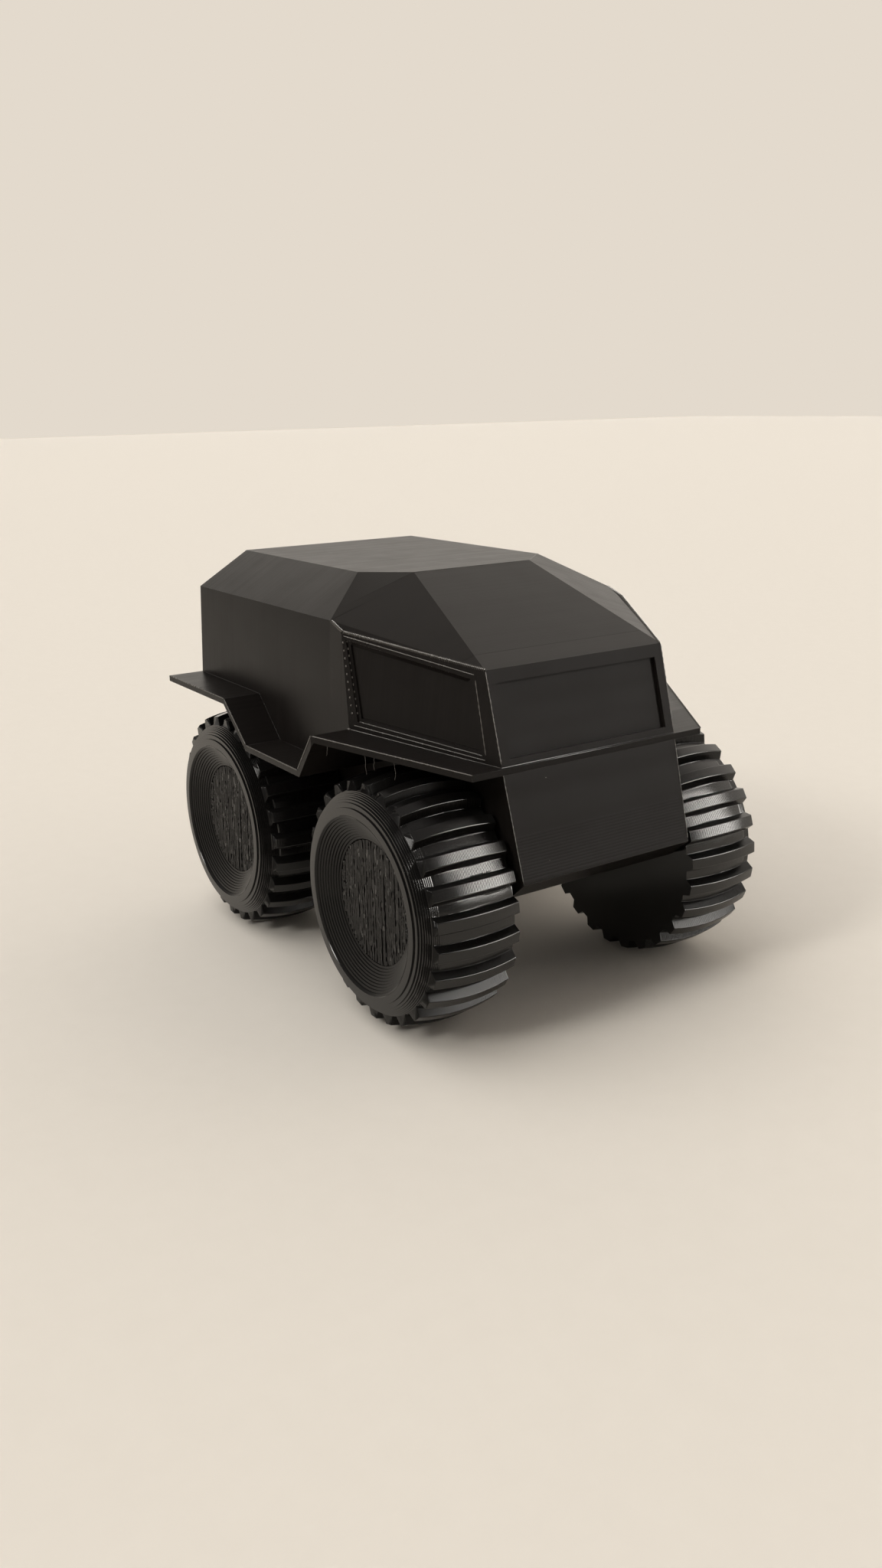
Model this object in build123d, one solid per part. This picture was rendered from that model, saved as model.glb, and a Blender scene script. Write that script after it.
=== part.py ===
from build123d import *
from math import cos, hypot, radians, sin, sqrt
import os

# A printed scale model of an amphibious all-terrain vehicle.
# Millimetres. X points forward, Y to the vehicle's left, Z up.
# The origin is on the ground, midway between the axles.

# Wheels
WHEELBASE = 39.44
WHEEL_R = 15.57            # over the lug tips, at the crown
LIP_Y = 26.03              # outermost ring of a wheel, from the centre plane
WHEEL_W = 12.53            # lip to flat inner face
CROWN_Y = 7.24             # widest ring of the tread, in from the lip
CROWN_R = 23.00            # radius of the tread's arc across the wheel
LUG_COUNT = 26
LUG_W = 1.45               # at the tip, along the circumference
LUG_DRAFT = 12             # slope of a lug's sides, in degrees
LUG_H = 1.05
LUG_START = 1.50           # outer lug ends, in from the lip
LUG_ROOT = 0.30            # depth of a lug below the grooves' outer ends
LUG_BEND_Y = 3.60          # first bend of a lug's top, in from the lip
SHOULDER_Y = 0.60          # ring that rounds the shoulder, in from the lip
SHOULDER_RISE = 1.40       # from the lip's radius to that ring
GROOVE_RISE = 2.11         # from the lip's radius to the grooves' outer ends
GROOVE_BEND_Y = 4.50       # bend of the groove floors, in from the lip
LIP_R = 11.54
MOUTH_R = 10.90            # edge of the dish
DISC_R = 7.40              # recessed disc
DISC_T = 2.20              # depth of the dish
DISH_SIDES = 52            # flats round the dish

# Axles
AXLE_R = 1.50
AXLE_HALF = 21.60          # centre plane to the rod's end
BEAD_R = 1.90              # snap head at the rod's end, which holds the wheel
BEAD_W = 1.00
RUN_GAP = 0.10             # radial running clearance of a wheel
END_GAP = 0.40             # along the axle, on either side of the head

# Hull, measured from the flat tail and from the ground
TAIL_X = -30.50            # the tail face in the model's own frame
ROOF_Z = 52.10
ROOF_HALF = 14.25
ROOF_FRONT = 37.36
BELT = (38.58, 21.84, 47.56)       # rear top corner of the cab, with the belt line
CREASE_TOP = (41.36, 21.89, 46.59)
CREASE_LOW = (43.21, 22.44, 35.17)
BROW = (58.37, 13.21, 43.55)       # top corner of the front face
SILL = (61.33, 13.12, 32.79)       # front face at the shelf
CHIN_X = 64.93                     # bottom of the front face
CHIN_Z = 19.71
CHIN_HALF = 12.74
BOW_X = 62.20                      # end of the rounded chin
BOW_Z = 17.30
BELLY_X = 48.50                    # the flat belly starts here
BELLY_Z = 11.50
TUB_TOP = 36.50                    # inside the upper body, as far forward as the step
TUB_STEP_X = 37.20

# Fender ribbon: its upper line along the hull
DECK_Z = 35.20                     # over the rear wheels
STEP_Z = 30.07                     # between the wheels
RIBBON = [
    (0.0, DECK_Z),
    (18.84, DECK_Z),
    (24.96, STEP_Z),
    (39.24, STEP_Z),
    (CREASE_LOW[0], CREASE_LOW[2]),
    (61.60, 32.80),
]
RIBBON_T = 0.80
RIBBON_HALF = 27.63                # as far forward as the cab's crease
RIBBON_NOSE_HALF = 17.40

# Window recesses: corners on their own panel, and two steps of a frame
SIDE_PANE = [(41.90, 45.69), (56.81, 42.49), (59.10, 33.90), (44.19, 36.14)]
SCREEN_HALF = 11.93
SCREEN_TOP = 42.02
SCREEN_LOW = 33.65
FRAME_STEP = 0.45
FRAME_DEPTH = 0.25
PANE_DEPTH = 0.50

SIDES = (-1, 1)
CORE = (ROOF_FRONT / 2, 0, (ROOF_Z + BELLY_Z) / 2)     # a point well inside the hull
CUT_OVER = 2.00                    # stock left outside a facet, before it is cut
POCKET_LIFT = 0.50                 # a recess's cutter starts this far outside its panel
axle_z = WHEEL_R


def outward(a, b, c):
    """The plane through three points, facing away from the hull's middle."""
    normal = (Vector(b) - Vector(a)).cross(Vector(c) - Vector(a)).normalized()
    if normal.dot(Vector(CORE) - Vector(a)) > 0:
        normal = normal * -1
    return Plane(origin=a, z_dir=normal)


def mirrored(point, side):
    return (point[0], side * point[1], point[2])


def profile(points, half):
    """A side profile in X and Z, extruded to both sides of the centre plane."""
    outline = Polyline(*[(x, 0, z) for x, z in points], close=True)
    return extrude(make_face(outline), amount=half, dir=(0, 1, 0), both=True)


def lowered(points, drop):
    """A polyline moved square to itself by drop, with mitred corners."""
    moved = []
    last = len(points) - 1
    for i, (x, z) in enumerate(points):
        normals = []
        for a, b in ((max(i - 1, 0), max(i, 1)), (min(i, last - 1), min(i + 1, last))):
            dx = points[b][0] - points[a][0]
            dz = points[b][1] - points[a][1]
            length = hypot(dx, dz)
            normals.append((dz / length, -dx / length))
        nx = normals[0][0] + normals[1][0]
        nz = normals[0][1] + normals[1][1]
        scale = 2 * drop / (nx * nx + nz * nz)
        if i in (0, last):
            moved.append((x, z - drop))
        else:
            moved.append((x + nx * scale, z + nz * scale))
    return moved


def face_x(z):
    """The front face's X at a height."""
    slope = (CHIN_X - BROW[0]) / (BROW[2] - CHIN_Z)
    return BROW[0] + (BROW[2] - z) * slope


# Upper body: a profile above the ribbon, cut to its facets
roof = [(ROOF_FRONT, ROOF_Z), (0.0, ROOF_Z)]
nose = [(face_x(RIBBON[-1][1]), RIBBON[-1][1]), (BROW[0], BROW[2])]
upper = profile(RIBBON[:-1] + nose + roof, CREASE_LOW[1] + CUT_OVER)
for side in SIDES:
    roof_rear = (0, side * ROOF_HALF, ROOF_Z)
    roof_front = (ROOF_FRONT, side * ROOF_HALF, ROOF_Z)
    belt = mirrored(BELT, side)
    belt_rear = (0, belt[1], belt[2])
    crease_top = mirrored(CREASE_TOP, side)
    crease_low = mirrored(CREASE_LOW, side)
    brow = mirrored(BROW, side)
    sill = mirrored(SILL, side)
    facets = [
        (roof_rear, roof_front, belt),
        (belt_rear, belt, crease_low),
        (roof_front, belt, brow),
        (belt, crease_top, brow),
        (crease_low, sill, brow),
    ]
    for facet in facets:
        upper = split(upper, bisect_by=outward(*facet), keep=Keep.BOTTOM)

# Fender ribbon: one thin strip that follows the profile, tapered with the cab
under = lowered(RIBBON, RIBBON_T)
taper_x = CREASE_LOW[0]
ribbon = profile(RIBBON + under[::-1], RIBBON_HALF)
for side in SIDES:
    edge_rear = (taper_x, side * RIBBON_HALF, 0)
    edge_nose = (RIBBON[-1][0], side * RIBBON_NOSE_HALF, 0)
    above = (taper_x, side * RIBBON_HALF, ROOF_Z)
    ribbon = split(ribbon, bisect_by=outward(edge_rear, edge_nose, above), keep=Keep.BOTTOM)

# Tub: the narrow lower hull between the wheels
tub_line = [
    (0.0, BELLY_Z),
    (BELLY_X, BELLY_Z),
    (BOW_X, BOW_Z),
    (CHIN_X, CHIN_Z),
    (face_x(SILL[2]), SILL[2]),
    (taper_x, SILL[2]),
    (TUB_STEP_X, TUB_TOP),
    (0.0, TUB_TOP),
]
tub = profile(tub_line, SILL[1] + CUT_OVER)
for side in SIDES:
    chin = (CHIN_X, side * CHIN_HALF, CHIN_Z)
    sill = mirrored(SILL, side)
    behind = (0, sill[1], sill[2])
    tub = split(tub, bisect_by=outward(chin, sill, behind), keep=Keep.BOTTOM)

hull = upper + ribbon + tub


def pocket(corners, normal, depth):
    """A shallow recess with its corners on a panel."""
    lift = normal * POCKET_LIFT
    rim = make_face(Polyline(*[Vector(c) + lift for c in corners], close=True))
    return extrude(rim, amount=POCKET_LIFT + depth, dir=normal * -1)


def inset(corners, step):
    """Corners moved inwards, each by step from both of its sides."""
    moved = []
    for i, c in enumerate(corners):
        here = Vector(c)
        ahead = (Vector(corners[(i + 1) % len(corners)]) - here).normalized()
        back = (Vector(corners[i - 1]) - here).normalized()
        sine = ahead.cross(back).length
        moved.append(here + (ahead + back) * (step / sine))
    return moved


for side in SIDES:
    panel = outward(mirrored(CREASE_LOW, side), mirrored(SILL, side), mirrored(BROW, side))
    corners = []
    for x, z in SIDE_PANE:
        flat = panel.origin
        y = flat.Y - (panel.z_dir.X * (x - flat.X) + panel.z_dir.Z * (z - flat.Z)) / panel.z_dir.Y
        corners.append((x, y, z))
    hull -= pocket(corners, panel.z_dir, FRAME_DEPTH)
    hull -= pocket(inset(corners, FRAME_STEP), panel.z_dir, PANE_DEPTH)

front = outward(BROW, (CHIN_X, CHIN_HALF, CHIN_Z), (CHIN_X, -CHIN_HALF, CHIN_Z))
screen = [
    (face_x(SCREEN_TOP), -SCREEN_HALF, SCREEN_TOP),
    (face_x(SCREEN_TOP), SCREEN_HALF, SCREEN_TOP),
    (face_x(SCREEN_LOW), SCREEN_HALF, SCREEN_LOW),
    (face_x(SCREEN_LOW), -SCREEN_HALF, SCREEN_LOW),
]
hull -= pocket(screen, front.z_dir, PANE_DEPTH)

hull = Pos(TAIL_X, 0, 0) * hull

# Axles: rods through the tub, with a snap head at each end
STATIONS = [("front", WHEELBASE / 2), ("rear", -WHEELBASE / 2)]
ACROSS = Rot(90, 0, 0)
axles = {}
for name, x in STATIONS:
    rod = Cylinder(AXLE_R, 2 * AXLE_HALF)
    for side in SIDES:
        rod += Pos(0, 0, side * (AXLE_HALF - BEAD_W / 2)) * Cylinder(BEAD_R, BEAD_W)
    place = Pos(x, 0, axle_z) * ACROSS
    axles["axle_" + name] = place * rod
    hull -= place * Cylinder(AXLE_R, 2 * RIBBON_HALF)


# Wheel: one print of tyre and rim, from its lip (Y 0) to its inner face
def crown(y):
    """The lug tops' radius at a distance from the lip."""
    return WHEEL_R - CROWN_R + sqrt(CROWN_R**2 - (y - CROWN_Y) ** 2)


def turned(section):
    """A solid of revolution about the wheel's axis, from radii and distances from the lip."""
    return revolve(make_face(Polyline(*[(r, y, 0) for r, y in section], close=True)), axis=Axis.Y)


def flat_sided(rings, sides):
    """A solid about the wheel's axis with flat sides: (distance from the lip, radius to the flats)."""
    pitch = 360 / sides
    outlines = []
    for y, flat_r in rings:
        corner_r = flat_r / cos(radians(pitch / 2))
        angles = [radians(i * pitch) for i in range(sides)]
        outlines.append([Vector(corner_r * sin(a), y, corner_r * cos(a)) for a in angles])
    flats = [Face(Wire.make_polygon(outlines[0])), Face(Wire.make_polygon(outlines[-1]))]
    for ring, after in zip(outlines, outlines[1:]):
        for i in range(sides):
            flats.append(Face(Wire.make_polygon([ring[i - 1], ring[i], after[i], after[i - 1]])))
    return Solid(Shell(flats))


# The carcass is a barrel with one flat side between each pair of lugs
groove_r = LIP_R + GROOVE_RISE
rings = [(0, LIP_R), (SHOULDER_Y, LIP_R + SHOULDER_RISE), (LUG_START, groove_r)]
rings += [(y, crown(y) - LUG_H) for y in (GROOVE_BEND_Y, WHEEL_W)]
barrel = flat_sided(rings, LUG_COUNT)

# Lugs: straight bars with sloping sides, whose tops follow the crown in three flats
root_r = groove_r - LUG_ROOT
lug_line = [(root_r, LUG_START)]
lug_line += [(crown(y), y) for y in (LUG_START, LUG_BEND_Y, CROWN_Y, WHEEL_W)]
lug_line += [(root_r, WHEEL_W)]
lug_face = make_face(Polyline(*[(r, y, 0) for r, y in lug_line], close=True))
lug = extrude(lug_face, amount=LUG_W, both=True)
for side in SIDES:
    slope = (sin(radians(LUG_DRAFT)), 0, side * cos(radians(LUG_DRAFT)))
    flank = Plane(origin=(WHEEL_R, 0, side * LUG_W / 2), z_dir=slope)
    lug = split(lug, bisect_by=flank, keep=Keep.BOTTOM)
lugs = [Rot(0, 90 + 360 * i / LUG_COUNT, 0) * lug for i in range(LUG_COUNT)]
wheel = barrel.fuse(*lugs)

# The dish in the outer face, and the bore with a chamber for the rod's head
wheel -= flat_sided([(0, MOUTH_R), (DISC_T, DISC_R)], DISH_SIDES)
bore_r = AXLE_R + RUN_GAP
chamber_r = BEAD_R + RUN_GAP
bore_end = LIP_Y - AXLE_HALF - END_GAP
chamber_end = bore_end + BEAD_W + 2 * END_GAP
wheel -= turned([
    (0, bore_end),
    (chamber_r, bore_end),
    (chamber_r, chamber_end),
    (bore_r, chamber_end),
    (bore_r, WHEEL_W),
    (0, WHEEL_W),
])

TURN = {-1: 0, 1: 180}
HAND = {-1: "right", 1: "left"}
nodes = {"hull": hull, **axles}
for name, x in STATIONS:
    for side in SIDES:
        place = Pos(x, side * LIP_Y, axle_z) * Rot(0, 0, TURN[side])
        nodes["wheel_" + name + "_" + HAND[side]] = place * wheel

os.makedirs("parts", exist_ok=True)
for name, shape in nodes.items():
    export_step(shape, "parts/" + name + ".step")
    box = shape.bounding_box()
    print(name, "solids", len(shape.solids()), "volume", round(shape.volume, 1), "mm3", box)
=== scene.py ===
# %% [markdown]
# A small black model of an amphibious off-road vehicle, printed in plastic, layer by layer.
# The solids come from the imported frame, in metres. They could be shown as they are, but a print is known by
# what the printer leaves on it, so they get that here: ridges of the layers, soft and beaded edges, a rough
# bridged disc in each wheel, a blob and stray hairs.

# %% Load the frame
import math
import random

import bmesh
import bpy
from mathutils import Matrix, Vector


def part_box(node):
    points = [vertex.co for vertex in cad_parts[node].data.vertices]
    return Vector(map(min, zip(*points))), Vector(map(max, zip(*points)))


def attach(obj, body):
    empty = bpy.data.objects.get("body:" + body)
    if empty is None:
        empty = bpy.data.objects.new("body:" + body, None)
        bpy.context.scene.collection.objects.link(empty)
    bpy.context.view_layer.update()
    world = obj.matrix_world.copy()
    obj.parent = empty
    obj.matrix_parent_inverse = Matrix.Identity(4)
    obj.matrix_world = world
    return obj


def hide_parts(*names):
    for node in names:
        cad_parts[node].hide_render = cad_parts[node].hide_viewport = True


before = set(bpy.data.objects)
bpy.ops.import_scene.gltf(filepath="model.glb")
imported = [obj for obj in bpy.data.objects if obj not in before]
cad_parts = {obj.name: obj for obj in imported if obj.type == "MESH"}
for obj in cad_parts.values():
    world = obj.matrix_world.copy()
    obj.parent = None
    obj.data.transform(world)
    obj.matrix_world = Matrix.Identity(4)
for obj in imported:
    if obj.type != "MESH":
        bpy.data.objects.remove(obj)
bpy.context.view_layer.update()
MM = 0.001
NEAR = 0.0005 * MM            # closer than this, two points count as one
MERGE = 0.002 * MM            # corners closer than this are merged


def in_mm(values):
    return [round(v / MM, 2) for v in values]


# %% [markdown]
# Every piece below is modelled as by hand: one object is active, edit mode is entered, a part of the mesh
# is picked by its place, and an operator acts on it. These few helpers keep those steps short.


# %% Modelling helpers
def alone(obj):
    """Makes obj the only selected object, and the active one."""
    bpy.ops.object.select_all(action="DESELECT")
    obj.select_set(True)
    bpy.context.view_layer.objects.active = obj


def edit(obj):
    alone(obj)
    bpy.ops.object.mode_set(mode="EDIT")
    bpy.ops.mesh.select_mode(type="VERT")


def leave():
    bpy.ops.object.mode_set(mode="OBJECT")


def pick(obj, kind, test):
    """In edit mode, selects only the verts, edges or faces that pass a test, and says how many."""
    bpy.ops.mesh.select_mode(type={"verts": "VERT", "edges": "EDGE", "faces": "FACE"}[kind])
    bpy.ops.mesh.select_all(action="DESELECT")
    mesh = bmesh.from_edit_mesh(obj.data)
    chosen = [element for element in getattr(mesh, kind) if test(element)]
    for element in chosen:
        element.select_set(True)
    bmesh.update_edit_mesh(obj.data)
    return len(chosen)


def middle(element):
    """The mean place of an edge's or a face's corners."""
    return sum((v.co for v in element.verts), Vector()) / len(element.verts)


def extrude(step):
    bpy.ops.mesh.extrude_region_move(TRANSFORM_OT_translate={"value": step})


def own_copy(obj, name):
    """A copy of an object with its own mesh."""
    copy = obj.copy()
    copy.data = obj.data.copy()
    copy.name = copy.data.name = name
    for key in [k for k in copy.keys() if k.startswith("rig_")]:
        del copy[key]
    copy.parent = None
    bpy.context.scene.collection.objects.link(copy)
    return copy


def joined(parts, name):
    """Joins some objects into the first of them, and names it."""
    alone(parts[0])
    for part in parts[1:]:
        part.select_set(True)
    bpy.ops.object.join()
    whole = bpy.context.object
    whole.name = whole.data.name = name
    return whole


def union(obj, other):
    """Fuses other into obj, and removes other."""
    alone(obj)
    fuse = obj.modifiers.new("fuse", "BOOLEAN")
    fuse.operation = "UNION"
    fuse.solver = "MANIFOLD"
    fuse.object = other
    bpy.ops.object.modifier_apply(modifier=fuse.name)
    bpy.data.objects.remove(other)


def give_finishes(obj, *finishes):
    """Replaces an object's materials by these, in this order."""
    obj.data.materials.clear()
    for finish in finishes:
        obj.data.materials.append(finish)


def paint_picked(obj, index):
    """In edit mode, gives the picked faces the finish at that place in the object's list."""
    obj.active_material_index = index
    bpy.ops.object.material_slot_assign()


def soft_shade(obj, degrees):
    alone(obj)
    bpy.ops.object.shade_smooth_by_angle(angle=math.radians(degrees))


def triangles(obj):
    return sum(len(p.vertices) - 2 for p in obj.data.polygons)


# %% [markdown]
# A finish is a graph of shader nodes. It could be linked node by node, but its sums read best as sums: a Wire
# holds one socket, and Python's operators on it add Math nodes. Any other node comes from Wire.node, with its
# settings first.


# %% Shader wires
class Wire:
    """One output socket of a node tree."""

    def __init__(self, tree, socket):
        self.tree = tree
        self.socket = socket

    @staticmethod
    def node(tree, kind, settings=None, sockets=None, out=0):
        """Adds a node, sets it up, links or sets its sockets, and gives one output as a Wire."""
        made = tree.nodes.new(kind)
        for name, value in (settings or {}).items():
            setattr(made, name, value)
        for name, value in (sockets or {}).items():
            if isinstance(value, Wire):
                tree.links.new(value.socket, made.inputs[name])
            else:
                made.inputs[name].default_value = value
        return Wire(tree, made.outputs[out])

    def math(self, operation, *others, flipped=False):
        values = [self, *others]
        if flipped:
            values.reverse()
        return Wire.node(self.tree, "ShaderNodeMath", {"operation": operation}, dict(enumerate(values)))

    def __add__(self, other):
        return self.math("ADD", other)

    def __radd__(self, other):
        return self.math("ADD", other)

    def __sub__(self, other):
        return self.math("SUBTRACT", other)

    def __rsub__(self, other):
        return self.math("SUBTRACT", other, flipped=True)

    def __mul__(self, other):
        return self.math("MULTIPLY", other)

    def __rmul__(self, other):
        return self.math("MULTIPLY", other)

    def __truediv__(self, other):
        return self.math("DIVIDE", other)

    def smooth(self, low, high):
        """0 below low, 1 above high, with a soft step between."""
        return Wire.node(
            self.tree, "ShaderNodeMapRange", {"interpolation_type": "SMOOTHSTEP"},
            {"Value": self, "From Min": low, "From Max": high})

    def between(self, dark, light):
        """A colour from dark to light by this value; a Mix node takes colours in its sockets 6 and 7."""
        return Wire.node(
            self.tree, "ShaderNodeMix", {"data_type": "RGBA"}, {"Factor": self, 6: dark, 7: light}, out=2)


def new_finish(name):
    """An empty material, with its Principled shader and its Object coordinates."""
    material = bpy.data.materials.new(name)
    material.use_nodes = True
    tree = material.node_tree
    shader = tree.nodes["Principled BSDF"]
    place = Wire.node(tree, "ShaderNodeTexCoord", out="Object")
    return material, tree, shader, place


def noise(place, scale, detail=2.0):
    return Wire.node(
        place.tree, "ShaderNodeTexNoise", {"noise_dimensions": "3D"},
        {"Vector": place, "Scale": scale, "Detail": detail})


# %% [markdown]
# Printed plastic is a warm near-black that shows mostly by what it mirrors. Each layer cools a little
# differently, so it gets its own sheen. A painted picture could show that, but a white noise of the layer's
# number keeps the layers' thickness on every piece. A fine grain in the bump keeps the flat panels from
# looking moulded, and a few pale specks of dust lie on everything.

# %% Printed plastic
LAYER = 0.2 * MM
GRAIN_SCALE = 9000.0          # specks of about a tenth of a millimetre
MOTTLE_SCALE = 260.0          # cloudy patches of a few millimetres
STREAK_SHARE = 0.35           # how much a layer's own sheen counts
MOTTLE_SHARE = 0.65           # and how much the patches do
DUST_CELL = 2.6 * MM          # one speck at most in a cell of this size
DUST_R = 0.055 * MM
DUST_CORE = 0.6               # share of a speck's radius that is fully pale
DUST_SHARE = 0.16
DUST = (0.32, 0.30, 0.27, 1)


def printed_plastic(name, along, dark, light, rough_low, rough_high, grain_depth, ior):
    """Black printed plastic whose layers are stacked along one axis, 0 for X or 1 for Y."""
    material, tree, shader, place = new_finish(name)
    split = Wire.node(tree, "ShaderNodeSeparateXYZ", sockets={"Vector": place}, out=along)
    number = (split / LAYER).math("FLOOR")
    streak = Wire.node(tree, "ShaderNodeTexWhiteNoise", {"noise_dimensions": "1D"}, {"W": number})
    uneven = streak * STREAK_SHARE + noise(place, MOTTLE_SCALE) * MOTTLE_SHARE
    cells = {"Vector": place, "Scale": 1 / DUST_CELL}
    away = Wire.node(tree, "ShaderNodeTexVoronoi", sockets=cells, out="Distance")
    lot = Wire.node(tree, "ShaderNodeTexVoronoi", sockets=cells, out="Color")
    chosen = Wire.node(tree, "ShaderNodeSeparateColor", sockets={"Color": lot}).math("LESS_THAN", DUST_SHARE)
    dust = chosen * (1 - away.smooth(DUST_CORE * DUST_R / DUST_CELL, DUST_R / DUST_CELL))
    tree.links.new(dust.between(uneven.between(dark, light), DUST).socket, shader.inputs["Base Color"])
    rough = rough_low + uneven * (rough_high - rough_low)
    tree.links.new(rough.socket, shader.inputs["Roughness"])
    bump = Wire.node(
        tree, "ShaderNodeBump",
        sockets={"Height": noise(place, GRAIN_SCALE), "Strength": 1.0, "Distance": grain_depth})
    tree.links.new(bump.socket, shader.inputs["Normal"])
    shader.inputs["IOR"].default_value = ior
    return material


NOSE_BLACK = {"dark": (0.0055, 0.0046, 0.0042, 1), "light": (0.0075, 0.0063, 0.0058, 1)}
WHEEL_BLACK = {"dark": (0.005, 0.0047, 0.0045, 1), "light": (0.007, 0.0066, 0.0063, 1)}
hull_plastic = printed_plastic(
    "hull_plastic", along=0, dark=(0.0065, 0.0054, 0.0049, 1), light=(0.0105, 0.0088, 0.0081, 1),
    rough_low=0.28, rough_high=0.42, grain_depth=0.003 * MM, ior=1.24)
front_plastic = printed_plastic(
    "front_plastic", along=0, **NOSE_BLACK,
    rough_low=0.56, rough_high=0.66, grain_depth=0.003 * MM, ior=1.20)
wheel_plastic = printed_plastic(
    "wheel_plastic", along=1, **WHEEL_BLACK,
    rough_low=0.12, rough_high=0.18, grain_depth=0.002 * MM, ior=1.46)
dish_plastic = printed_plastic(
    "dish_plastic", along=1, **WHEEL_BLACK,
    rough_low=0.16, rough_high=0.24, grain_depth=0.002 * MM, ior=1.25)
axle_plastic = printed_plastic(
    "axle_plastic", along=1, dark=(0.008, 0.0075, 0.007, 1), light=(0.012, 0.0112, 0.0105, 1),
    rough_low=0.35, rough_high=0.45, grain_depth=0.010 * MM, ior=1.45)
edge_plastic = printed_plastic(
    "edge_plastic", along=0, **NOSE_BLACK,
    rough_low=0.18, rough_high=0.26, grain_depth=0.003 * MM, ior=1.50)
# Pale colour for the beads, the blob and the hairs: a painted highlight that stands in for the glints on the
# printed edges
painted_glint_plastic = printed_plastic(
    "painted_glint_plastic", along=0, dark=(0.070, 0.065, 0.060, 1), light=(0.120, 0.112, 0.103, 1),
    rough_low=0.20, rough_high=0.32, grain_depth=0.003 * MM, ior=1.60)
for node_name in ("axle_front", "axle_rear"):
    give_finishes(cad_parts[node_name], axle_plastic)
print("finishes", [m.name for m in bpy.data.materials if m.name.endswith("_plastic")])

# %% [markdown]
# The hull is one print, and melted plastic leaves no edge quite sharp. A Bevel modifier could soften every
# edge at once. Here the edges of a merged and cleaned copy are picked first, so that the fine steps inside
# the windows stay crisp, and the bevel gives the rounded strips a finish of their own.

# %% Hull: a clean copy with soft edges
EDGE_SOFT = 0.16 * MM
EDGE_SEGMENTS = 3
SHARP = math.radians(25)      # edges that fold more than this are softened
COPLANAR = math.radians(0.4)  # faces that fold less than this become one
WINDOW_X = (36.5, 62.5)       # the windows' reach, in mm from the hull's tail
WINDOW_Z = (33.2, 46.2)       # and in mm above the ground
FRONT, EDGE = 1, 2            # places of two finishes in the hull's list
tail_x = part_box("hull")[0].x
tail_mm = round(tail_x / MM, 2)


def in_window(point):
    """True inside a window's recess, where the steps are too fine for a soft edge."""
    x, z = point.x / MM - tail_mm, point.z / MM
    return WINDOW_X[0] < x < WINDOW_X[1] and WINDOW_Z[0] < z < WINDOW_Z[1]


def is_sharp(edge):
    return len(edge.link_faces) == 2 and edge.calc_face_angle() > SHARP


hull = own_copy(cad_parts["hull"], "printed_hull")
give_finishes(hull, hull_plastic, front_plastic, edge_plastic)
edit(hull)
bpy.ops.mesh.select_all(action="SELECT")
bpy.ops.mesh.remove_doubles(threshold=MERGE)
bpy.ops.mesh.dissolve_limited(angle_limit=COPLANAR)
softened = pick(hull, "edges", lambda e: is_sharp(e) and not in_window(middle(e)))
bpy.ops.mesh.bevel(
    offset=EDGE_SOFT, segments=EDGE_SEGMENTS, affect="EDGES", clamp_overlap=True, material=EDGE)
leave()
print("hull's tail at mm", tail_mm, "edges softened", softened, "triangles", triangles(hull))

# %% [markdown]
# The hull was printed standing on its tail, so its layers are slices across its length, and every layer
# bulges a little. A bump could draw that, but real ridges also break up the outline and the reflections.
# The mesh is cut at every layer and half layer, and the cuts between two layers are pulled in. Crests shade
# smoothly, grooves don't.

# %% Hull: ridges of the layers
RIDGE = 0.016 * MM            # depth of the groove between two layers
FLAT = 8                      # degrees between faces that still shade as one
ROUND = math.radians(50)      # faces of one rounded edge fold less than this
FINE_FROM = 25.0 * MM         # the last layers, towards the nose, are too fine to see
LAYER_SLACK = 0.01            # how far from its layer a place may lie, in layers


def is_between_layers(x):
    share = (x - tail_x) / LAYER
    return abs(share - round(share)) < LAYER_SLACK


def is_crest(edge):
    """True along the middle of a layer."""
    return edge.verts[0].co.x < FINE_FROM and all(is_between_layers(v.co.x + LAYER / 2) for v in edge.verts)


def in_soft_edge(edge):
    """True between two faces of one rounded edge, which shade as one."""
    if any(f.material_index != EDGE for f in edge.link_faces):
        return False
    groove = all(is_between_layers(v.co.x) for v in edge.verts) and edge.verts[0].co.x < FINE_FROM
    return edge.calc_face_angle(math.pi) < ROUND and not groove


cuts = int((FINE_FROM - tail_x) / LAYER * 2)
edit(hull)
for i in range(1, cuts):
    bpy.ops.mesh.select_all(action="SELECT")
    bpy.ops.mesh.bisect(plane_co=(tail_x + i * LAYER / 2, 0, 0), plane_no=(1, 0, 0), threshold=NEAR)
grooved = pick(
    hull, "verts",
    lambda v: tail_x + LAYER / 2 < v.co.x < FINE_FROM and is_between_layers(v.co.x))
bpy.ops.transform.shrink_fatten(value=-RIDGE)
leave()
soft_shade(hull, FLAT)
edit(hull)
smoothed = pick(hull, "edges", lambda e: in_soft_edge(e) or is_crest(e))
bpy.ops.mesh.mark_sharp(clear=True)
leave()
print("hull cuts", cuts, "points pulled in", grooved, "edges smoothed", smoothed)
print("hull triangles", triangles(hull))

# %% [markdown]
# The front face was the top of the print. It is laid in flat lines instead of stacked edges, so it is
# duller, and on its lower half the lines show. A striped bump could stand for them; they are cut across that
# half instead, in the same way as the layers, so that both kinds of ridge catch the light alike. The chin's
# underside is a slope of stacked edges again, and shines as the rounded edges do.

# %% Hull: lines on the lower nose
NOSE_LINE = 0.347 * MM        # one line, measured in height
NOSE_DEPTH = 0.030 * MM
NOSE_LOW = 20.1 * MM
NOSE_HIGH = 25.4 * MM
NOSE_TOP = 32 * MM            # above this the front is windscreen
NOSE_X = 30 * MM              # the nose lies ahead of this
SHORTEST_LINE = 5 * MM
AHEAD_FROM = 0.9              # a face with this much of its normal along X looks ahead
CHIN_DOWN, CHIN_AHEAD = 0.3, 0.1   # the least of its normal that the chin's underside has each way


def on_nose(f):
    return f.normal.x > AHEAD_FROM and middle(f).z < NOSE_TOP


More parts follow.
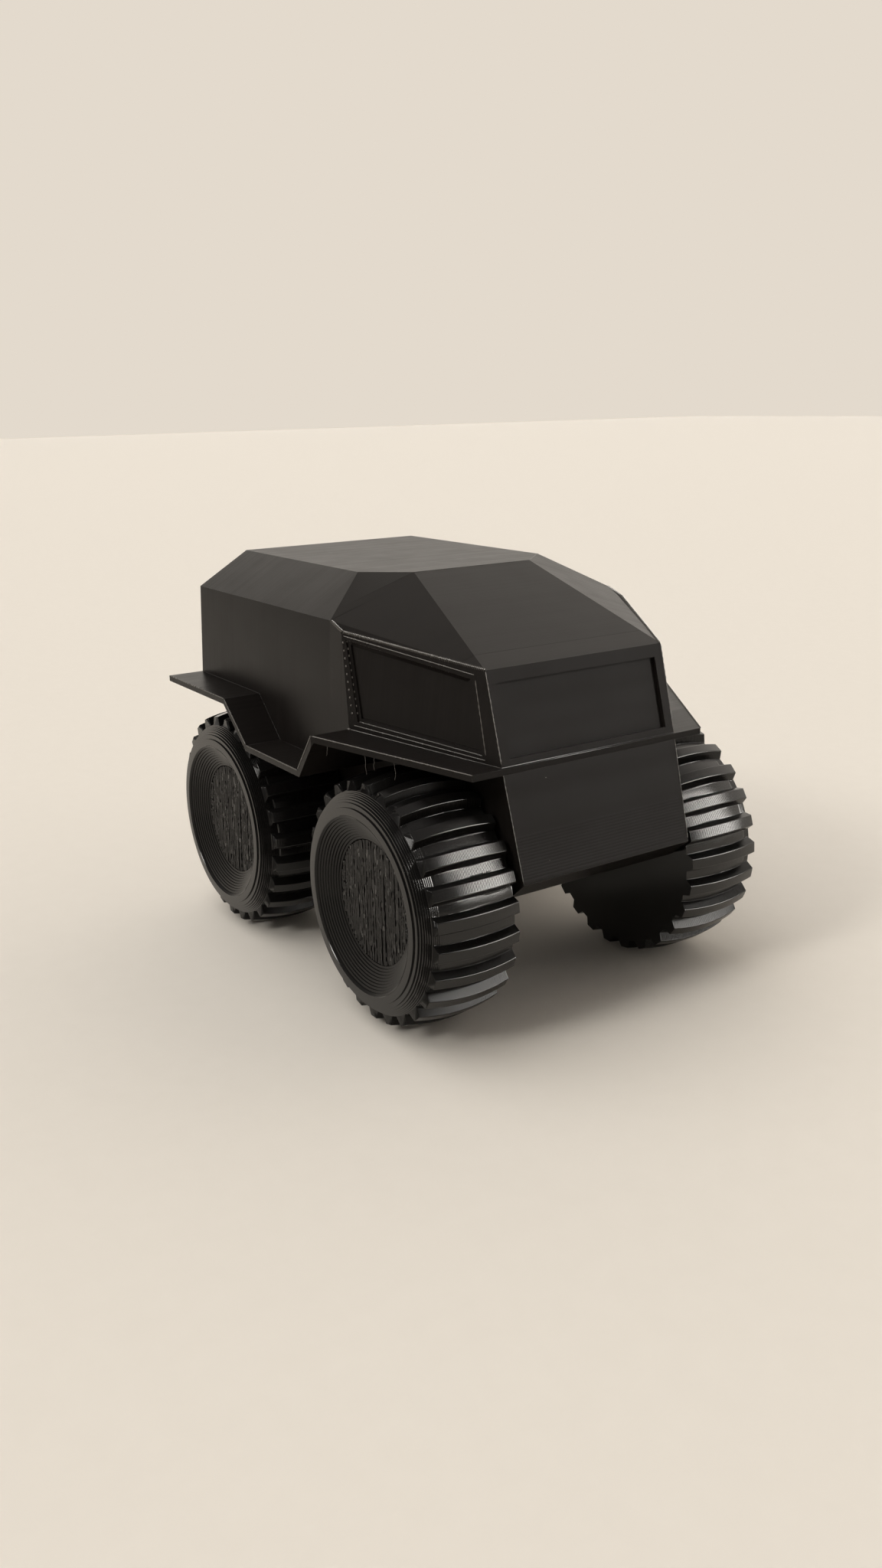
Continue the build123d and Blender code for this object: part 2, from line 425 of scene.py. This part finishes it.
def on_chin(f):
    return f.normal.z < -CHIN_DOWN and f.normal.x > CHIN_AHEAD and middle(f).x > FINE_FROM


def is_groove(z):
    """True at a height between two lines, and not on a line's crest."""
    return round((z - NOSE_LOW) / NOSE_LINE * 2) % 2 == 1


def in_nose_groove(edge):
    """True on an edge that runs across the nose between two lines."""
    a, b = (v.co for v in edge.verts)
    across = abs(a.z - b.z) <= NEAR and abs(a.y - b.y) >= SHORTEST_LINE
    return across and a.x >= NOSE_X and NOSE_LOW - NEAR < a.z < NOSE_HIGH and is_groove(a.z)


edit(hull)
for i in range(int((NOSE_HIGH - NOSE_LOW) / NOSE_LINE * 2)):
    pick(hull, "faces", on_nose)
    bpy.ops.mesh.bisect(plane_co=(0, 0, NOSE_LOW + i * NOSE_LINE / 2), plane_no=(0, 0, 1), threshold=NEAR)
lined = pick(
    hull, "verts",
    lambda v: v.normal.x > AHEAD_FROM and NOSE_LOW - NOSE_LINE / 4 < v.co.z < NOSE_HIGH and is_groove(v.co.z))
bpy.ops.transform.shrink_fatten(value=-NOSE_DEPTH)
pick(hull, "edges", in_nose_groove)
bpy.ops.mesh.mark_sharp()
leave()                       # this brings the faces' normals up to date
edit(hull)
dull = pick(hull, "faces", lambda f: f.normal.x > AHEAD_FROM and f.material_index != EDGE)
paint_picked(hull, FRONT)
glossy = pick(hull, "faces", on_chin)
paint_picked(hull, EDGE)
leave()
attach(hull, "body")
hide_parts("hull")
print("nose points pulled in", lined, "dull", dull, "glossy", glossy, "triangles", triangles(hull))

# %% [markdown]
# At a corner the nozzle slows down and leaves a little too much plastic, so the edges of the print carry
# rows of tiny beads, one to a layer, which catch the light. They are also coloured pale, a painted highlight
# that stands in for those glints. Noise could roughen the edges, but beads that keep step with the layers
# look printed. One bead is a ring that is extruded and swollen twice, and an Array repeats it. Where an edge
# climbs steeply through the layers the beads stand apart.

# %% Hull: beads along the edges
BEAD_SIDES = 6
BEAD_NECK = 0.45              # a bead's ends, as a share of its middle
STEEPEST = 0.2                # a steeper edge is beaded as if it ran this much along X
DOT_LENGTH = 2.2              # a bead that stands apart, in its own radii
BEAD_SHADE = 80               # degrees between faces that still shade as one

# Corners of the hull in mm: from its tail, out from its middle, and above the ground
BELT = (38.58, 21.84, 47.56)
CREASE_TOP, CREASE_LOW = (41.36, 21.89, 46.59), (43.21, 22.44, 35.17)
BROW, SILL, CHIN = (58.37, 13.21, 43.55), (61.33, 13.12, 32.79), (64.93, 12.74, 19.71)
SHELF_BACK, SHELF_FRONT = (43.21, 27.63, 35.17), (61.60, 17.40, 32.80)
RIBBON = [
    (0.4, 27.63, 35.20), (18.84, 27.63, 35.20), (24.96, 27.63, 30.07), (39.24, 27.63, 30.07), SHELF_BACK]
SIDE_PANE = [(41.90, 45.69), (56.81, 42.49), (59.10, 33.90), (44.19, 36.14)]   # along and up only

# Radii in mm: the brow's thick beads are set into the solid, the others lie on their edges
BROW_ROWS = [(BELT, CREASE_TOP, 0.24), (CREASE_TOP, BROW, 0.26)]
BROW_INWARD = (-0.09, -0.165, -0.045)
EDGE_ROWS = [
    (BROW, SILL, 0.08), (CREASE_LOW, SILL, 0.09), (SHELF_BACK, SHELF_FRONT, 0.10), (SILL, CHIN, 0.06)]
EDGE_ROWS += [(a, b, 0.09) for a, b in zip(RIBBON, RIBBON[1:])]
FRAME_STEP = 0.45             # width of a window's frame, in mm
FRAME_DEPTH = 0.25            # and how deep its pane lies
FRAME_R, DOT_R = 0.09, 0.13
REAR_POST = 3                 # the pane's steep side, where the beads stand apart


def on_part(point, side):
    """One of those corners as a place in the frame; side is -1 on the right and 1 on the left."""
    return Vector((point[0] + tail_mm, side * point[1], point[2])) * MM


def bead(radius, length):
    """One bead, standing on the origin along Z."""
    bpy.ops.object.select_all(action="DESELECT")
    bpy.ops.mesh.primitive_circle_add(vertices=BEAD_SIDES, radius=radius * BEAD_NECK)
    made = bpy.context.object
    edit(made)
    bpy.ops.mesh.select_all(action="SELECT")
    for swell in (1 / BEAD_NECK, BEAD_NECK):
        extrude((0, 0, length / 2))
        bpy.ops.transform.resize(value=(swell, swell, 1))
    leave()
    return made


def bead_row(start, end, radius, apart=False):
    """Beads from one place to another, one to a layer; apart leaves gaps between them."""
    if start.x > end.x:
        start, end = end, start
    along = (end - start).normalized()
    slope = max(along.x, STEEPEST)
    pitch = LAYER / slope
    first = (math.ceil((start.x - tail_x) / LAYER) * LAYER + tail_x - start.x) / slope
    row = bead(radius, DOT_LENGTH * radius if apart else pitch)
    repeat = row.modifiers.new("repeat", "ARRAY")
    repeat.count = max(int(((end - start).length - first) / pitch), 1)
    repeat.use_relative_offset = False
    repeat.use_constant_offset = True
    repeat.constant_offset_displace = (0, 0, pitch)
    repeat.use_merge_vertices = not apart
    repeat.merge_threshold = MERGE
    alone(row)
    bpy.ops.object.modifier_apply(modifier=repeat.name)
    row.location = start + along * first
    row.rotation_euler = along.to_track_quat("Z", "Y").to_euler()
    bpy.ops.object.transform_apply(location=True, rotation=True, scale=True)
    return row


def pane_point(corner, side, grow, depth):
    """A corner of the side window, moved out by grow and set in by depth, on the cab's side."""
    x, z = SIDE_PANE[corner]
    centre = [sum(c[i] for c in SIDE_PANE) / len(SIDE_PANE) for i in (0, 1)]
    x += math.copysign(grow, x - centre[0])
    z += math.copysign(grow, z - centre[1])
    a, b, c = (on_part(p, side) for p in (CREASE_LOW, SILL, BROW))
    normal = (b - a).cross(c - a).normalized()
    normal *= 1 if normal.y * side > 0 else -1
    at = Vector(((x + tail_mm) * MM, 0, z * MM))
    at.y = a.y - (normal.x * (at.x - a.x) + normal.z * (at.z - a.z)) / normal.y
    return at - normal * depth * MM


rows = []
for side in (-1, 1):
    inward = Vector((BROW_INWARD[0], side * BROW_INWARD[1], BROW_INWARD[2])) * MM
    for a, b, radius in BROW_ROWS:
        rows.append(bead_row(on_part(a, side) + inward, on_part(b, side) + inward, radius * MM))
    for a, b, radius in EDGE_ROWS:
        rows.append(bead_row(on_part(a, side), on_part(b, side), radius * MM))
    for grow, depth in ((FRAME_STEP, 0), (0, FRAME_DEPTH)):
        ring = [pane_point(i, side, grow, depth) for i in range(len(SIDE_PANE))]
        for i, (a, b) in enumerate(zip(ring, ring[1:] + ring[:1])):
            post = i == REAR_POST
            rows.append(bead_row(a, b, (DOT_R if post else FRAME_R) * MM, apart=post))
beads = joined(rows, "edge_beads")
edit(beads)
bpy.ops.mesh.select_all(action="SELECT")
bpy.ops.mesh.fill_holes(sides=BEAD_SIDES)
bpy.ops.mesh.select_all(action="SELECT")
bpy.ops.mesh.normals_make_consistent(inside=False)
leave()
soft_shade(beads, BEAD_SHADE)
# the beads' pale colour is a painted highlight
give_finishes(beads, painted_glint_plastic)
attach(beads, "body")
print("rows of beads", len(rows), "triangles", triangles(beads))

# %% [markdown]
# Where the nozzle starts and ends a layer it leaves a blob, and where it crosses a gap it pulls a hair of
# plastic, so the real print has a blob at the window's lower corner and a few hairs under the front fender.
# A hair could be a curve with a thickness; a thin ring that is extruded and shifted a few times gives the
# same with fewer faces. The blob is a ball that is flattened and crumpled.

# %% Hull: a blob and stray hairs
BLOB_R = 0.26 * MM
BLOB_SHAPE = (1.3, 0.8, 0.7)
BLOB_CRUMPLE = 0.25           # as a share of its radius
BLOB_SEED = 4
HAIR_R = 0.022 * MM
HAIR_STEPS = 5
HAIR_DRIFT = 0.10 * MM        # how far a hair strays to a side at each step
HAIR_ROOT = 0.1 * MM          # how far it starts inside the fender
HAIR_INSET = 0.15             # in from the fender's edge, in mm
HAIR_SEED = 3
FENDER_T = 0.80               # the fender's thickness, in mm
HAIRS = [(0.10, 1.3), (0.34, 2.4), (0.40, 1.6), (0.52, 2.2)]   # share of the edge, length in mm
hair_chance = random.Random(HAIR_SEED)

bpy.ops.object.select_all(action="DESELECT")
bpy.ops.mesh.primitive_ico_sphere_add(subdivisions=2, radius=BLOB_R)
blob = bpy.context.object
edit(blob)
bpy.ops.mesh.select_all(action="SELECT")
bpy.ops.transform.resize(value=BLOB_SHAPE)
bpy.ops.transform.vertex_random(offset=BLOB_R * BLOB_CRUMPLE, seed=BLOB_SEED)
bpy.ops.transform.translate(value=on_part(CREASE_LOW, -1))
leave()
stray = [blob]
for share, length in HAIRS:
    start = on_part(SHELF_BACK, -1).lerp(on_part(SHELF_FRONT, -1), share)
    start += Vector((0, HAIR_INSET, -FENDER_T)) * MM
    bpy.ops.object.select_all(action="DESELECT")
    bpy.ops.mesh.primitive_circle_add(vertices=BEAD_SIDES, radius=HAIR_R)
    hair = bpy.context.object
    edit(hair)
    bpy.ops.mesh.select_all(action="SELECT")
    bpy.ops.transform.translate(value=start + Vector((0, 0, HAIR_ROOT)))
    for step in range(HAIR_STEPS):
        drift = [hair_chance.uniform(-HAIR_DRIFT, HAIR_DRIFT) for axis in (0, 1)]
        extrude((*drift, -length * MM / HAIR_STEPS))
    bpy.ops.mesh.select_all(action="SELECT")
    bpy.ops.mesh.fill_holes(sides=BEAD_SIDES)
    bpy.ops.mesh.normals_make_consistent(inside=False)
    leave()
    stray.append(hair)
strays = joined(stray, "blob_and_hairs")
soft_shade(strays, BEAD_SHADE)
# the blob and the hairs take the same pale colour, a painted highlight
give_finishes(strays, painted_glint_plastic)
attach(strays, "body")
print("blob and hairs", len(stray), "triangles", triangles(strays))

# %% [markdown]
# A wheel is one print too, with its outer face on the bed, so its layers are stacked along the axle. A copy
# of its solid could be cut as the hull was, but a section that is drawn point by point and spun gives clean
# rings. Where the section is steep, in the dish and on the shoulder, every layer is a step that shows as a
# ring; on the tread it is a ridge.

# %% Wheel: the section
WHEEL_R = 15.57 * MM          # over the lug tips, at the crown
WHEEL_W = 12.53 * MM
CROWN_Y = 7.24 * MM           # widest ring, in from the lip
CROWN_R = 23.0 * MM           # radius of the tread's arc across the wheel
LUG_COUNT = 26
LUG_H = 1.05 * MM
LUG_START = 1.50 * MM         # outer lug ends, in from the lip
LIP_R = 11.54 * MM
MOUTH_R = 10.90 * MM
DISC_R = 7.40 * MM
DISC_T = 2.20 * MM
BORE_R = 1.60 * MM
BORE_END = 4.03 * MM          # from the lip
WHEEL_RIDGE = 0.014 * MM      # depth of the groove between two layers
SHOULDER_END = 2.4 * MM       # up to here each layer is a step of its own
SPIN_STEPS = LUG_COUNT * 8
# The shoulder's outline: distance from the lip and radius, in mm; the tread's arc follows
SHOULDER = [(0.0, 11.54), (0.25, 12.40), (0.60, 12.94), (1.00, 13.30), (1.50, 13.65), (2.60, 14.05)]
# Shares of a layer: a dish step's height and overhang, the mouth's chamfer, a shoulder step's two ends
DISH_RISE, DISH_OUT = 0.62, 0.22
MOUTH_SOFT = 0.3
STEP_FROM, STEP_TO = 0.06, 0.96


def crown(y):
    """The lug tops' radius at a distance from the lip."""
    return WHEEL_R - CROWN_R + math.sqrt(CROWN_R**2 - (y - CROWN_Y) ** 2)


def floor_radius(y):
    """The tread floor's radius at a distance from the lip."""
    for (y0, r0), (y1, r1) in zip(SHOULDER, SHOULDER[1:]):
        if y <= y1 * MM:
            return (r0 + (r1 - r0) * (y / MM - y0) / (y1 - y0)) * MM
    return crown(y) - LUG_H


def wheel_section():
    """Corners (radius, distance from the lip), from the disc's middle round to the bore's end."""
    points = [(0, DISC_T + DISH_RISE * LAYER)]
    steps = round(DISC_T / LAYER)
    for i in range(steps, 0, -1):
        r = DISC_R + (MOUTH_R - DISC_R) * (steps - i) / steps
        y = i * LAYER
        points += [(r, y + DISH_RISE * LAYER), (r + DISH_OUT * LAYER, y)]
    points += [(MOUTH_R, MOUTH_SOFT * LAYER), (MOUTH_R + MOUTH_SOFT * LAYER, 0), (LIP_R, 0)]
    for i in range(int(WHEEL_W / LAYER)):
        y = i * LAYER
        r = floor_radius(y + LAYER / 2)
        if y < SHOULDER_END:
            points += [
                (r - WHEEL_RIDGE, y + STEP_FROM * LAYER), (r, y + LAYER / 2),
                (r - WHEEL_RIDGE / 2, y + STEP_TO * LAYER)]
        else:
            points += [(r, y + LAYER / 2), (floor_radius(y + LAYER) - WHEEL_RIDGE, y + LAYER)]
    points += [(points[-1][0], WHEEL_W), (BORE_R, WHEEL_W), (BORE_R, BORE_END), (0, BORE_END)]
    return points


def draw_line(name, points):
    """A polyline drawn vertex after vertex, as with the E key."""
    bpy.ops.object.select_all(action="DESELECT")
    bpy.ops.mesh.primitive_plane_add(size=MM)
    line = bpy.context.object
    line.name = line.data.name = name
    edit(line)
    bpy.ops.mesh.merge(type="CENTER")
    bpy.ops.transform.translate(value=points[0])
    for a, b in zip(points, points[1:]):
        step = Vector(b) - Vector(a)
        bpy.ops.mesh.extrude_vertices_move(TRANSFORM_OT_translate={"value": step})
    leave()
    return line


wheel = draw_line("wheel_print", [(r, y, 0) for r, y in wheel_section()])
edit(wheel)
bpy.ops.mesh.select_all(action="SELECT")
bpy.ops.mesh.spin(steps=SPIN_STEPS, angle=2 * math.pi, center=(0, 0, 0), axis=(0, 1, 0))
bpy.ops.mesh.select_all(action="SELECT")
bpy.ops.mesh.remove_doubles(threshold=MERGE)
bpy.ops.mesh.normals_make_consistent(inside=False)
leave()
print("wheel section", len(wheel_section()), "points, carcass triangles", triangles(wheel))

# %% [markdown]
# The lugs are straight bars with sloping sides, and their tops follow the crowned tread. A plain bar could
# be bent, but the layers would bend with it. So a bar's section is drawn and then extruded along the axle,
# half a layer at a time, and each new ring is lifted to the tread's arc. Every second ring is pulled in, as
# on the hull. One lug is made and then turned round.

# %% Wheel: the lugs
LUG_TURN = 2 * math.pi / LUG_COUNT
LUG_TIP = 1.46 * MM
LUG_BASE = 2.20 * MM
LUG_ROOT = 2.60 * MM          # how far the bar reaches below its top, into the tread
TIP_SOFT = [(0, -0.16), (0.02, -0.08), (0.07, -0.02), (0.15, 0)]   # its rounded corner, in mm


def half_layers(y):
    """How many half layers a place lies from the lip: even between two layers, odd on a crest."""
    number = y / (LAYER / 2)
    return round(number) if abs(number - round(number)) < LAYER_SLACK else None


lug_side = [(LUG_BASE / 2, -LUG_ROOT), (LUG_BASE / 2, -LUG_H)]
lug_side += [(LUG_TIP / 2 - inset * MM, z * MM) for inset, z in TIP_SOFT]
lug_section = [(-x, z) for x, z in lug_side] + lug_side[::-1]
lug = draw_line("lugs", [(x, LUG_START, crown(LUG_START) + z) for x, z in lug_section + lug_section[:1]])
edit(lug)
bpy.ops.mesh.select_all(action="SELECT")
bpy.ops.mesh.remove_doubles(threshold=NEAR)
bpy.ops.mesh.select_all(action="SELECT")
y = LUG_START
while y < WHEEL_W - NEAR:
    ahead = min(y + LAYER / 2, WHEEL_W)
    extrude((0, ahead - y, crown(ahead) - crown(y)))
    y = ahead
for end in (LUG_START, WHEEL_W):
    pick(lug, "edges", lambda e: e.is_boundary and abs(middle(e).y - end) < NEAR)
    bpy.ops.mesh.edge_face_add()
bpy.ops.mesh.select_all(action="SELECT")
bpy.ops.mesh.normals_make_consistent(inside=False)
pick(lug, "verts", lambda v: (half_layers(v.co.y) or 1) % 2 == 0)
bpy.ops.transform.shrink_fatten(value=-WHEEL_RIDGE)
bpy.ops.mesh.select_all(action="SELECT")
for i in range(LUG_COUNT - 1):
    bpy.ops.mesh.duplicate()
    bpy.ops.transform.rotate(value=LUG_TURN, orient_axis="Y", center_override=(0, 0, 0))
leave()
print("lugs", LUG_COUNT, "triangles", triangles(lug))

# %% [markdown]
# The disc in the dish is printed over air, so its first layer is a row of sagging strands. A displaced disc
# would look like cloth. Each strand is a thin bar across the disc instead, cut into short lengths whose
# corners are moved at random, and no two lie at quite the same depth. Their ends hide in the dish's wall.

# %% Wheel: the bridged disc
STRAND = 0.46 * MM            # from one strand to the next
STRAND_R = 0.24 * MM
STRAND_SIDES = 8
STRAND_LUMP = 0.10 * MM
STRAND_SAG = 0.16 * MM        # how unevenly the strands hang
SAG_FROM, SAG_TO = -0.3, 0.7  # in shares of that, out of the dish and into it
STRAND_CUTS = 26
STRAND_BURIED = 0.25 * MM     # length of an end in the dish's wall
STRAND_SHORTEST = 1.5 * MM    # half the length of the shortest strand
STRAND_SEED = 50
SAG_SEED = 7
chance = random.Random(SAG_SEED)
count = round(DISC_R / STRAND)

strands = []
for i in range(-count, count + 1):
    off = i * STRAND
    reach = math.sqrt(max((DISC_R + STRAND_BURIED) ** 2 - off**2, 0))
    if reach < STRAND_SHORTEST:
        continue
    bpy.ops.object.select_all(action="DESELECT")
    bpy.ops.mesh.primitive_cylinder_add(vertices=STRAND_SIDES, radius=STRAND_R, depth=2 * reach)
    strand = bpy.context.object
    edit(strand)
    for cut in range(1, STRAND_CUTS):
        bpy.ops.mesh.select_all(action="SELECT")
        bpy.ops.mesh.bisect(
            plane_co=(0, 0, reach * (2 * cut / STRAND_CUTS - 1)), plane_no=(0, 0, 1), threshold=NEAR)
    bpy.ops.mesh.select_all(action="SELECT")
    bpy.ops.transform.vertex_random(offset=STRAND_LUMP, seed=i + STRAND_SEED)
    bpy.ops.transform.translate(value=(off, DISC_T + chance.uniform(SAG_FROM, SAG_TO) * STRAND_SAG, 0))
    leave()
    strands.append(strand)
disc = joined(strands, "bridged_disc")
print("strands", len(strands), "triangles", triangles(disc))

# %% [markdown]
# The printer lays lugs, carcass and disc in one go. They could stay three meshes pushed into each other, but
# fused lugs meet the tread in a clean line, as on the print. The dish, the lugs' sides and their outer ends
# are duller than the tread, so their faces get a finish of their own. Crests and the lugs' rounded corners
# shade smoothly.

# %% Wheel: fused and finished
DISH = 1                      # place of the dish's finish in the wheel's list
PROUD = 0.05 * MM             # how far a lug's faces stand off the tread, at least
FLANK_FROM = 0.8              # a face with this much of its normal one way looks that way
TIP_ACROSS = (-0.01 * MM, 0.12 * MM)   # reach of a rounded corner, in from a lug's side
TIP_BELOW = 0.14 * MM         # and down from its top


def nearest_lug(place):
    """The angle of the lug nearest to a place."""
    return round(math.atan2(place.x, place.z) / LUG_TURN) * LUG_TURN


def in_dish(f):
    here = middle(f)
    return here.y < DISC_T + LAYER and math.hypot(here.x, here.z) < MOUTH_R


def on_flank(f):
    """True on a lug's sloping side or its outer end."""
    here = middle(f)
    angle = nearest_lug(here)
    tangent = Vector((math.cos(angle), 0, -math.sin(angle)))
    proud = math.hypot(here.x, here.z) > floor_radius(here.y) + PROUD
    at_end = f.normal.y < -FLANK_FROM and here.y < LUG_START + LAYER
    return proud and here.y > LUG_START - NEAR and (abs(f.normal.dot(tangent)) > FLANK_FROM or at_end)


def on_lug_tip(v):
    """True on a lug's rounded corner, apart from the corner's two outer lines."""
    angle = math.atan2(v.co.x, v.co.z) - nearest_lug(v.co)
    r = math.hypot(v.co.x, v.co.z)
    across = LUG_TIP / 2 - abs(r * math.sin(angle))
    below = crown(v.co.y) - r * math.cos(angle)
    return TIP_ACROSS[0] < across < TIP_ACROSS[1] and below < TIP_BELOW


def along_tip(edge):
    a, b = edge.verts
    return on_lug_tip(a) and on_lug_tip(b) and abs(a.co.y - b.co.y) > LAYER / 4


def on_wheel_crest(edge):
    return all((half_layers(v.co.y) or 0) % 2 == 1 for v in edge.verts)


union(wheel, lug)
give_finishes(wheel, wheel_plastic, dish_plastic)
edit(wheel)
duller = pick(wheel, "faces", lambda f: in_dish(f) or on_flank(f))
paint_picked(wheel, DISH)
leave()
give_finishes(disc, wheel_plastic)
wheel = joined([wheel, disc], "wheel_print")
soft_shade(wheel, FLAT)
edit(wheel)
rounded = pick(wheel, "edges", lambda e: on_wheel_crest(e) or along_tip(e))
bpy.ops.mesh.mark_sharp(clear=True)
leave()
print("wheel fused, duller faces", duller, "edges smoothed", rounded)
print("wheel triangles", triangles(wheel), "box mm", in_mm(wheel.dimensions))

# %% [markdown]
# The four wheels are copies of the one print. Instances would save memory, but each wheel rolls by itself
# and is exported by itself, so each gets its own mesh. A right wheel has its lip to the right; a left one is
# turned half round. Each rides on the body that rolls.

# %% Place the wheels
LIP_Y = 26.03 * MM
WHEELBASE = 39.44 * MM
# Body, end, side, and roll in degrees as they stand in the photograph
PLACES = [
    ("front_right", 1, -1, 0), ("front_left", 1, 1, 3.5),
    ("rear_right", -1, -1, 5), ("rear_left", -1, 1, 9)]
for body, end, side, roll in PLACES:
    copy = own_copy(wheel, f"printed_wheel_{body}")
    edit(copy)
    bpy.ops.mesh.select_all(action="SELECT")
    if side > 0:
        bpy.ops.transform.rotate(value=math.pi, orient_axis="Z", center_override=(0, 0, 0))
    bpy.ops.transform.rotate(value=-math.radians(roll), orient_axis="Y", center_override=(0, 0, 0))
    bpy.ops.transform.translate(value=(end * WHEELBASE / 2, side * LIP_Y, WHEEL_R))
    leave()
    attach(copy, body)
    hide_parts(f"wheel_{body}")
    lo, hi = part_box(f"wheel_{body}")
    low, high = (Vector(copy.bound_box[i]) for i in (0, 6))
    print(body, "off the CAD wheel by mm", in_mm(low - lo), in_mm(high - hi))
bpy.data.objects.remove(wheel)

# %% [markdown]
# The photograph was taken between white cards, on pale paper. Each card could be an area lamp; drawn into
# the world they take no place and mirror softly. They are warm and bright from behind and from the model's
# left, and dimmer overhead and from the camera's side, and a small side light shines from the right. Black
# plastic shows what it mirrors, so a bright strip at the front left is there for reflections only, where the
# lugs catch it. Camera rays see a plain warm white instead.

# %% World light
CARD = (1.28, 1.19, 1.07, 1)
CARD_TURN = 0.45              # how far the bright cards reach round to the back
CARD_EDGE = (0.0, 0.8)
DIM = (0.29, 0.275, 0.25, 1)
OVERHEAD = (0.32, 0.30, 0.28, 1)
OVERHEAD_EDGE = (0.75, 0.96)
STRIP = (27.0, 26.0, 24.5, 1)
STRIP_AZIMUTH = ((0.56, 0.60), (0.77, 0.81))   # its two soft edges, in radians from ahead to the left
STRIP_HEIGHT = ((0.02, 0.06), (0.66, 0.72))    # and from low to high
SIDE_LIGHT = (18.0, 17.5, 16.5, 1)
SIDE_LIGHT_EDGE = (0.984, 0.992)
TO_SIDE_LIGHT = (0.0, -0.81, 0.58)
BACKDROP = (0.77, 0.70, 0.61, 1)


def band(value, rise, fall):
    """1 between two soft edges, and 0 outside them."""
    return value.smooth(*rise) * (1 - value.smooth(*fall))


world = bpy.data.worlds.new("studio")
bpy.context.scene.world = world
world.use_nodes = True
tree = world.node_tree
sky = tree.nodes["Background"]
way = Wire.node(tree, "ShaderNodeTexCoord", out="Generated")
dx, dy, dz = (Wire.node(tree, "ShaderNodeSeparateXYZ", sockets={"Vector": way}, out=i) for i in range(3))
cards = (dy - dx * CARD_TURN).smooth(*CARD_EDGE)
around = dz.smooth(*OVERHEAD_EDGE).between(cards.between(DIM, CARD), OVERHEAD)
mirrored = Wire.node(tree, "ShaderNodeLightPath", out="Is Glossy Ray")
strip = band(dy.math("ARCTAN2", dx), *STRIP_AZIMUTH) * band(dz, *STRIP_HEIGHT) * mirrored
around = strip.between(around, STRIP)
facing = dx * TO_SIDE_LIGHT[0] + dy * TO_SIDE_LIGHT[1] + dz * TO_SIDE_LIGHT[2]
around = facing.smooth(*SIDE_LIGHT_EDGE).between(around, SIDE_LIGHT)
seen = Wire.node(tree, "ShaderNodeLightPath", out="Is Camera Ray")
tree.links.new(seen.between(around, BACKDROP).socket, sky.inputs["Color"])
print("world nodes", len(tree.nodes))

# %% [markdown]
# The model stands on a sheet of paper, in a light so soft that its shadow has no edge. A large area lamp
# could give that; a sun with a wide angle does too, and falls evenly on all of the paper. It is hidden from
# reflections, because the world already holds what the plastic mirrors. The camera stands where a fit to the
# photograph put it.

# %% Floor, lamp and camera
FLOOR_SIZE = 6.0
PAPER_DARK, PAPER_LIGHT = (0.66, 0.62, 0.565, 1), (0.68, 0.64, 0.585, 1)
PAPER_SCALE = 300.0
PAPER_ROUGH = 0.9
TO_LAMP = Vector((-0.30, -0.35, 0.89))
LAMP_AWAY = 0.5
LAMP_ANGLE = math.radians(60)
LAMP_POWER = 1.75
LAMP_COLOUR = (1.0, 0.98, 0.95)
CAMERA_AT = (0.14181, -0.09435, 0.07283)
RIGHT = Vector((0.55413, 0.83222, -0.01887))
DOWN = Vector((0.23178, -0.17602, -0.95671))
AHEAD = Vector((-0.79951, 0.52577, -0.29043))
LENS, SENSOR = 29.21, 36
CLIP_START = 0.005

bpy.ops.object.select_all(action="DESELECT")
bpy.ops.mesh.primitive_plane_add(size=FLOOR_SIZE, location=(0, 0, 0))
floor = bpy.context.object
floor.name = floor.data.name = "paper"
paper, tree, shader, place = new_finish("paper")
fibres = noise(place, PAPER_SCALE).between(PAPER_DARK, PAPER_LIGHT)
tree.links.new(fibres.socket, shader.inputs["Base Color"])
shader.inputs["Roughness"].default_value = PAPER_ROUGH
give_finishes(floor, paper)

bpy.ops.object.light_add(type="SUN", location=TO_LAMP * LAMP_AWAY)
lamp = bpy.context.object
lamp.name = "soft_lamp"
lamp.data.angle = LAMP_ANGLE
lamp.data.energy = LAMP_POWER
lamp.data.color = LAMP_COLOUR
lamp.visible_glossy = False
lamp.rotation_euler = (-TO_LAMP).to_track_quat("-Z", "Y").to_euler()

bpy.ops.object.camera_add(location=CAMERA_AT)
camera = bpy.context.object
camera.name = "photo_camera"
turn = Matrix((RIGHT, -DOWN, -AHEAD)).transposed().normalized()
camera.rotation_euler = turn.to_euler()
camera.data.lens = LENS
camera.data.sensor_width = SENSOR
camera.data.clip_start = CLIP_START
bpy.context.scene.camera = camera
bpy.context.scene.view_settings.view_transform = "Standard"
print("camera at mm", in_mm(camera.location), "lens", LENS)
